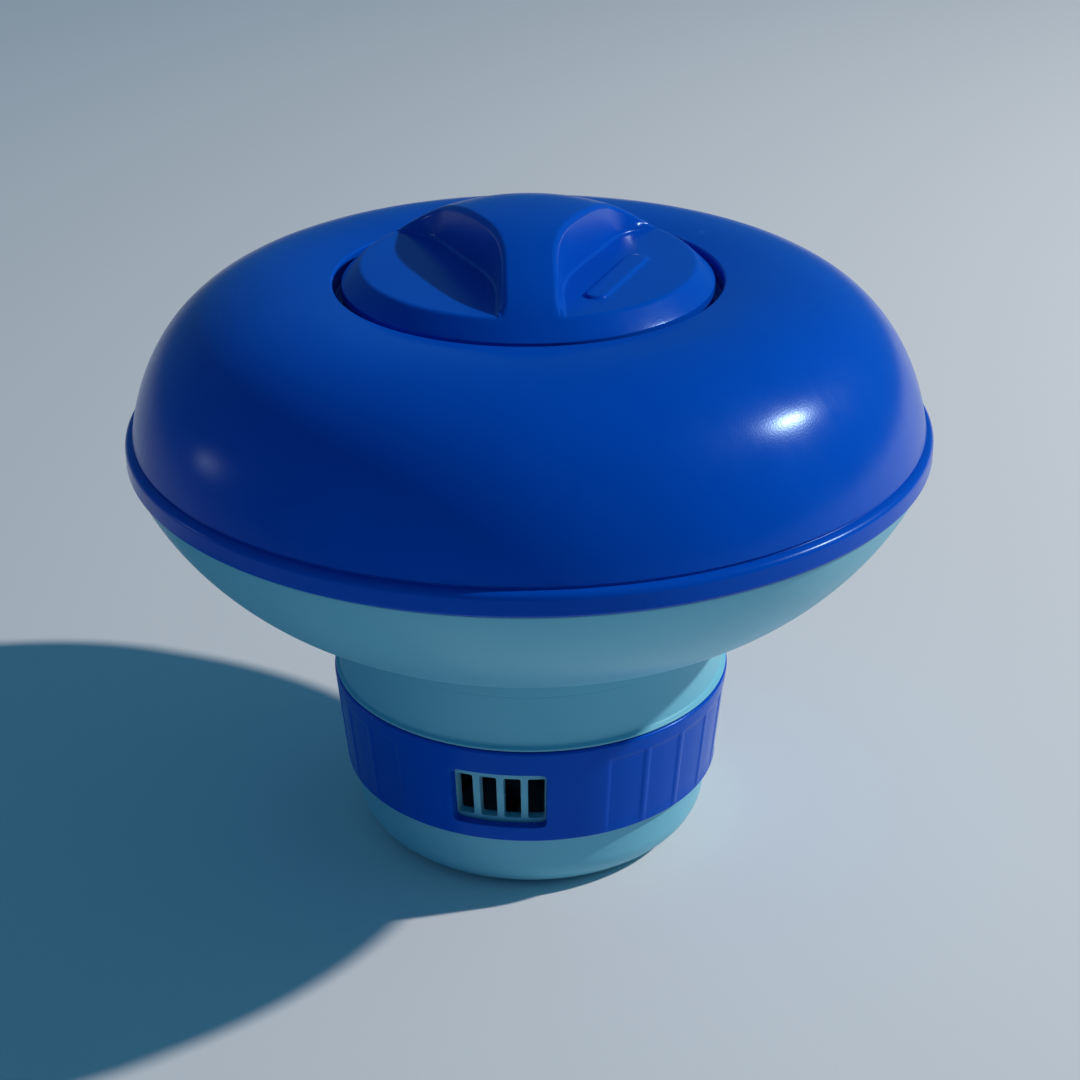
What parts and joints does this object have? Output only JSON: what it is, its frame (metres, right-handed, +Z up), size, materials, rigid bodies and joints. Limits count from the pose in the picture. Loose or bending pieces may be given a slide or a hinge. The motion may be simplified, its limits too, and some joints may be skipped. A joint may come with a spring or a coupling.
{
  "type": "floating chlorine dispenser",
  "caption": "Round pool float with a twist cap over a tablet canister, and a turning collar that opens and closes its flow windows.",
  "frame": {"origin": "centre of the flat base, on the plane it stands on", "axes": "+Z up along the axis of the float and canister; a flow window faces -Y"},
  "size_m": [0.19, 0.19, 0.158],
  "materials": {
    "blue_plastic": "glossy moulded, solid blue",
    "pale_plastic": "semi-gloss moulded, pale aqua white",
    "seal_rubber": "matte black",
    "grid_plastic": "matte moulded, grey",
    "ballast_coating": "cast, with a grey epoxy coat"
  },
  "bodies": {
    "float": {"upper_shell": "blue_plastic", "rim_seal": "seal_rubber", "lower_shell": "pale_plastic", "neck_seal": "seal_rubber", "shoulder_seal": "seal_rubber", "canister": "pale_plastic", "tablet_grid": "grid_plastic", "ballast": "ballast_coating", "base_cup": "pale_plastic"},
    "seal": {"cap_seal": "seal_rubber"},
    "lid": {"cap": "blue_plastic"},
    "collar": {"flow_collar": "blue_plastic"}
  },
  "joints": [
    {"name": "cap_lift", "type": "slide", "parent": "float", "child": "seal", "axis": [0, 0, 1], "range_m": [0, 0.09]},
    {"name": "cap_turn", "type": "hinge", "parent": "seal", "child": "lid", "pos_m": [0, 0, 0.1378], "axis": [0, 0, 1], "range_deg": [-45, 0]},
    {"name": "collar_turn", "type": "hinge", "parent": "float", "child": "collar", "pos_m": [0, 0, 0.0305], "axis": [0, 0, 1], "range_deg": [0, 32]}
  ]
}
